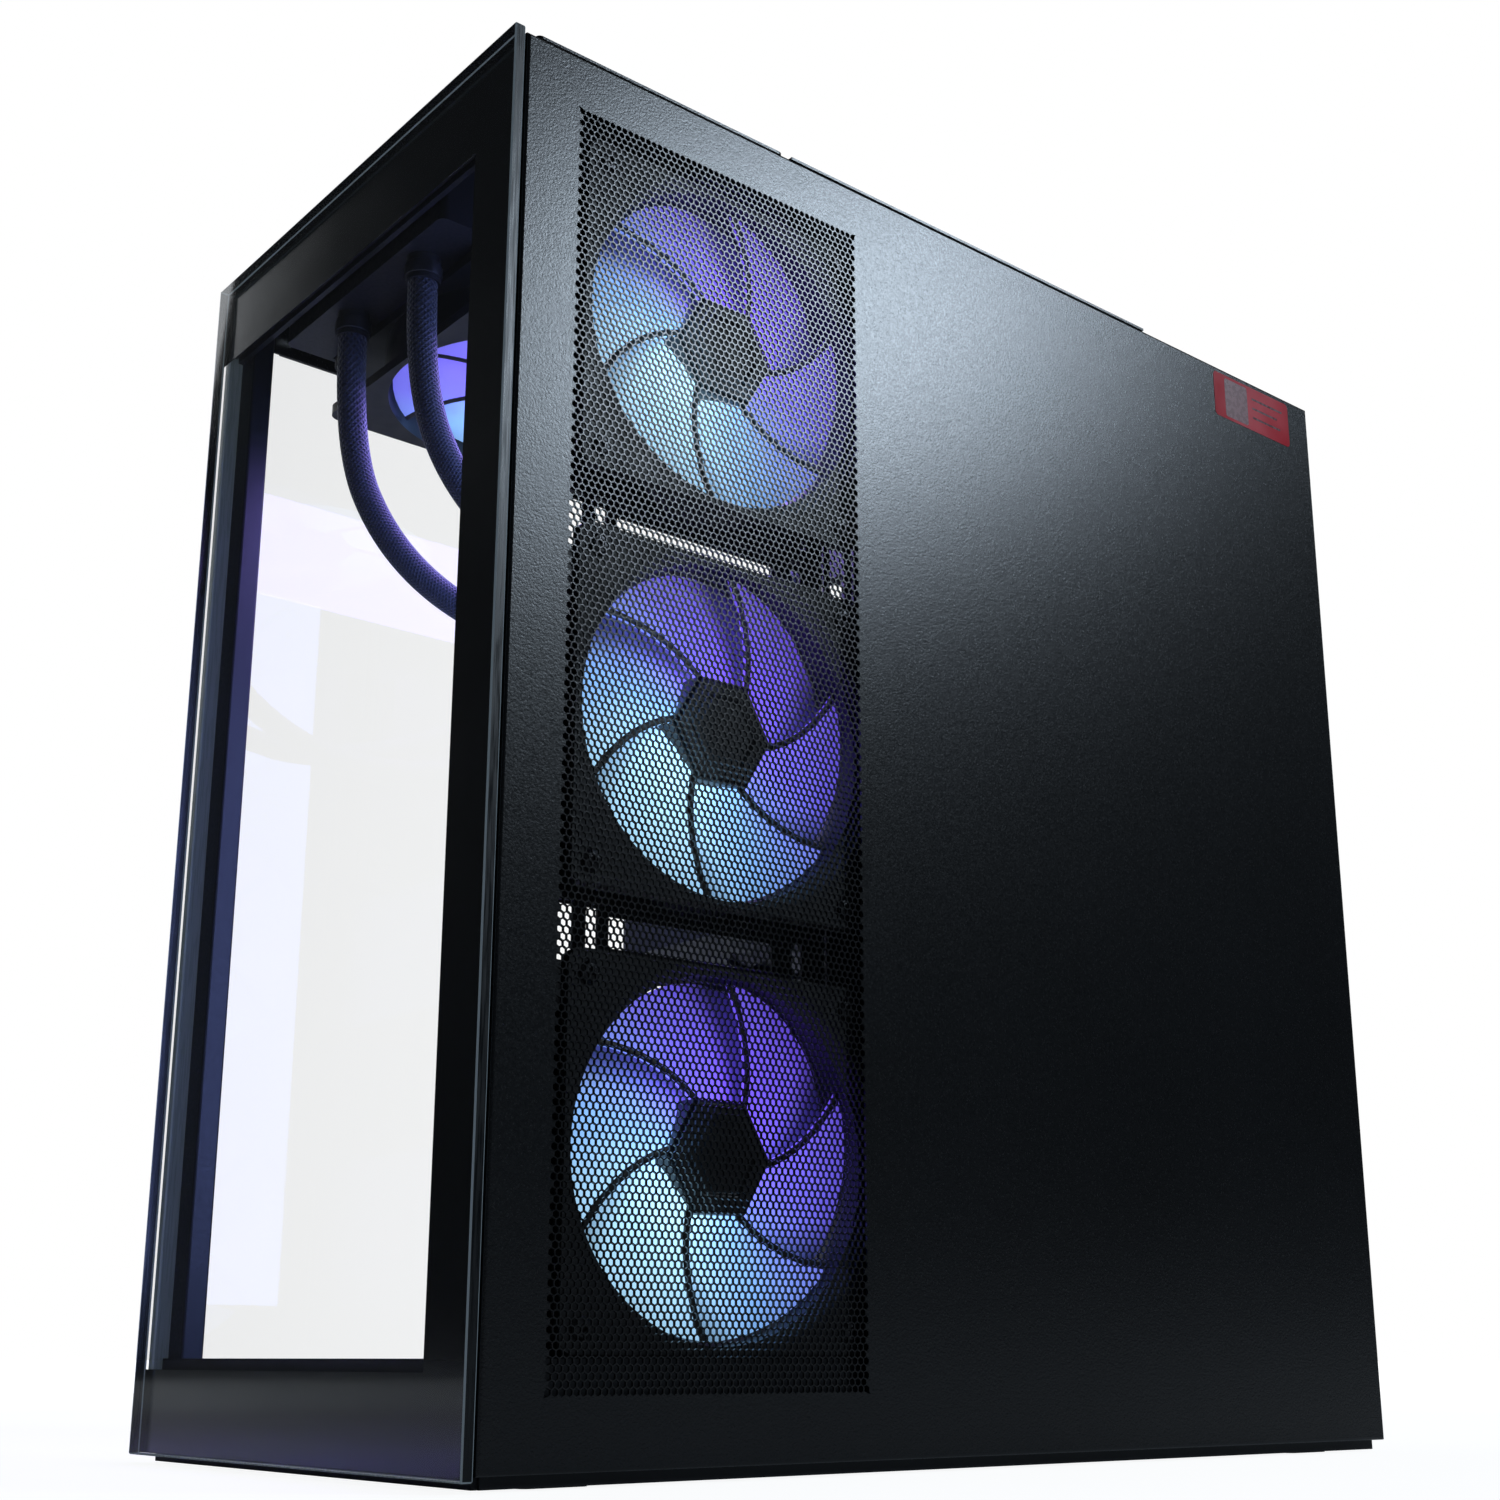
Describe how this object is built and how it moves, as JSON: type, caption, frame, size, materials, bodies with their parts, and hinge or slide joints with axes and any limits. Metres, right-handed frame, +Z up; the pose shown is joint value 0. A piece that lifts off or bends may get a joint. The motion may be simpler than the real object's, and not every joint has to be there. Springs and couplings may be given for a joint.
{
  "type": "desktop computer tower",
  "caption": "Black mid-tower desktop computer with glass front and left side, vented steel right side over lit fans, liquid cooler and complete interior.",
  "frame": {"origin": "centre of the overall box at the floor, under the feet", "axes": "+Z up, -Y towards the glass front, +X towards the vented right panel"},
  "size_m": [0.2251, 0.44, 0.463],
  "materials": {
    "chassis_paint": "fine powder coat",
    "panel_paint": "grained powder coat",
    "carrier_paint": "satin",
    "front_glass": "clear with a black printed border",
    "left_glass": "clear",
    "moulded_plastic": "fine texture",
    "foot_rubber": "matte",
    "button_plastic": "gloss",
    "label_film": "printed film",
    "circuit_board": "solder mask",
    "socket_plastic": "moulded",
    "port_steel": "plated",
    "radiator_paint": "black paint",
    "pump_plastic": "satin and gloss",
    "hose_sleeve": "woven sleeve over rubber",
    "heat_spreader": "anodised",
    "fin_aluminium": "bare fins",
    "gpu_plastic": "fine texture",
    "fan_frame_plastic": "fine texture",
    "blade_plastic": "translucent, lit from the hub",
    "dark_blade_plastic": "satin",
    "psu_paint": "grained powder coat"
  },
  "bodies": {
    "chassis": {"base_pan": "chassis_paint", "feet": "moulded_plastic", "foot_pads": "foot_rubber", "front_frame": "chassis_paint", "corner_pillar": "chassis_paint", "top_frame": "chassis_paint", "rear_wall": "chassis_paint", "motherboard_tray": "chassis_paint", "side_fan_bracket": "chassis_paint", "psu_shroud": "chassis_paint", "io_strip": "moulded_plastic", "io_board": "circuit_board", "radiator": "radiator_paint", "pump_block": "pump_plastic", "hose_outer": "hose_sleeve", "hose_inner": "hose_sleeve", "motherboard": "circuit_board", "ram_modules": "heat_spreader", "board_sockets": "socket_plastic", "board_heatsinks": "heat_spreader", "board_ports": "port_steel", "gpu_shroud": "gpu_plastic", "gpu_heatsink": "fin_aluminium", "gpu_board": "circuit_board", "gpu_backplate": "heat_spreader", "gpu_bracket": "port_steel", "expansion_covers": "chassis_paint", "slot_screws": "port_steel", "psu_case": "psu_paint", "psu_circuit": "circuit_board", "power_inlet": "socket_plastic", "side_fan_frame_low": "fan_frame_plastic", "side_fan_frame_mid": "fan_frame_plastic", "side_fan_frame_top": "fan_frame_plastic", "radiator_fan_frame_front": "fan_frame_plastic", "radiator_fan_frame_mid": "fan_frame_plastic", "radiator_fan_frame_back": "fan_frame_plastic", "rear_fan_frame": "fan_frame_plastic"},
    "front_cover": {"front_glass": "front_glass", "front_glass_carrier": "carrier_paint"},
    "left_cover": {"left_glass": "left_glass", "left_glass_rails": "carrier_paint"},
    "right_cover": {"right_panel": "panel_paint", "side_vent_field": "panel_paint", "panel_label": "label_film"},
    "roof_filter": {"top_filter": "moulded_plastic"},
    "floor_filter": {"bottom_filter": "moulded_plastic"},
    "power_key": {"power_button": "button_plastic"},
    "reset_key": {"reset_button": "button_plastic"},
    "mains_rocker": {"psu_switch": "button_plastic"},
    "side_fan_impeller_low": {"side_fan_rotor_low": "blade_plastic"},
    "side_fan_impeller_mid": {"side_fan_rotor_mid": "blade_plastic"},
    "side_fan_impeller_top": {"side_fan_rotor_top": "blade_plastic"},
    "radiator_fan_impeller_front": {"radiator_fan_rotor_front": "blade_plastic"},
    "radiator_fan_impeller_mid": {"radiator_fan_rotor_mid": "blade_plastic"},
    "radiator_fan_impeller_back": {"radiator_fan_rotor_back": "blade_plastic"},
    "rear_fan_impeller": {"rear_fan_rotor": "blade_plastic"},
    "gpu_impeller_front": {"gpu_rotor_front": "dark_blade_plastic"},
    "gpu_impeller_back": {"gpu_rotor_back": "dark_blade_plastic"},
    "psu_impeller": {"psu_rotor": "dark_blade_plastic"}
  },
  "joints": [
    {"name": "front_cover_pull", "type": "slide", "parent": "chassis", "child": "front_cover", "axis": [0, -1, 0], "range_m": [0, 0.1]},
    {"name": "left_cover_pull", "type": "slide", "parent": "chassis", "child": "left_cover", "axis": [-1, 0, 0], "range_m": [0, 0.1]},
    {"name": "right_cover_pull", "type": "slide", "parent": "chassis", "child": "right_cover", "axis": [1, 0, 0], "range_m": [0, 0.1]},
    {"name": "roof_filter_lift", "type": "slide", "parent": "chassis", "child": "roof_filter", "axis": [0, 0, 1], "range_m": [0, 0.06]},
    {"name": "floor_filter_slide", "type": "slide", "parent": "chassis", "child": "floor_filter", "axis": [0, 1, 0], "range_m": [0, 0.15]},
    {"name": "power_key_press", "type": "slide", "parent": "chassis", "child": "power_key", "axis": [0, 0, -1], "range_m": [0, 0.0012], "stiffness_N_per_m": 800, "springref_m": -0.0006},
    {"name": "reset_key_press", "type": "slide", "parent": "chassis", "child": "reset_key", "axis": [0, 0, -1], "range_m": [0, 0.0012], "stiffness_N_per_m": 800, "springref_m": -0.0006},
    {"name": "mains_rocker_tilt", "type": "hinge", "parent": "chassis", "child": "mains_rocker", "pos_m": [-0.0105, 0.2052, 0.0642], "axis": [1, 0, 0], "range_deg": [-8, 8]},
    {"name": "side_fan_low_spin", "type": "hinge", "parent": "chassis", "child": "side_fan_impeller_low", "pos_m": [0.095, -0.126, 0.097], "axis": [1, 0, 0], "continuous": true},
    {"name": "side_fan_mid_spin", "type": "hinge", "parent": "chassis", "child": "side_fan_impeller_mid", "pos_m": [0.095, -0.126, 0.237], "axis": [1, 0, 0], "continuous": true},
    {"name": "side_fan_top_spin", "type": "hinge", "parent": "chassis", "child": "side_fan_impeller_top", "pos_m": [0.095, -0.126, 0.377], "axis": [1, 0, 0], "continuous": true},
    {"name": "radiator_fan_front_spin", "type": "hinge", "parent": "chassis", "child": "radiator_fan_impeller_front", "pos_m": [-0.0125, -0.128, 0.4135], "axis": [0, 0, 1], "continuous": true},
    {"name": "radiator_fan_mid_spin", "type": "hinge", "parent": "chassis", "child": "radiator_fan_impeller_mid", "pos_m": [-0.0125, -0.008, 0.4135], "axis": [0, 0, 1], "continuous": true},
    {"name": "radiator_fan_back_spin", "type": "hinge", "parent": "chassis", "child": "radiator_fan_impeller_back", "pos_m": [-0.0125, 0.112, 0.4135], "axis": [0, 0, 1], "continuous": true},
    {"name": "rear_fan_spin", "type": "hinge", "parent": "chassis", "child": "rear_fan_impeller", "pos_m": [-0.0236, 0.1987, 0.338], "axis": [0, 1, 0], "continuous": true},
    {"name": "gpu_front_spin", "type": "hinge", "parent": "chassis", "child": "gpu_impeller_front", "pos_m": [0.0074, 0.0122, 0.197], "axis": [0, 0, 1], "continuous": true},
    {"name": "gpu_back_spin", "type": "hinge", "parent": "chassis", "child": "gpu_impeller_back", "pos_m": [0.0074, 0.1262, 0.197], "axis": [0, 0, 1], "continuous": true},
    {"name": "psu_spin", "type": "hinge", "parent": "chassis", "child": "psu_impeller", "pos_m": [0.0045, 0.1412, 0.048], "axis": [0, 0, 1], "continuous": true}
  ]
}
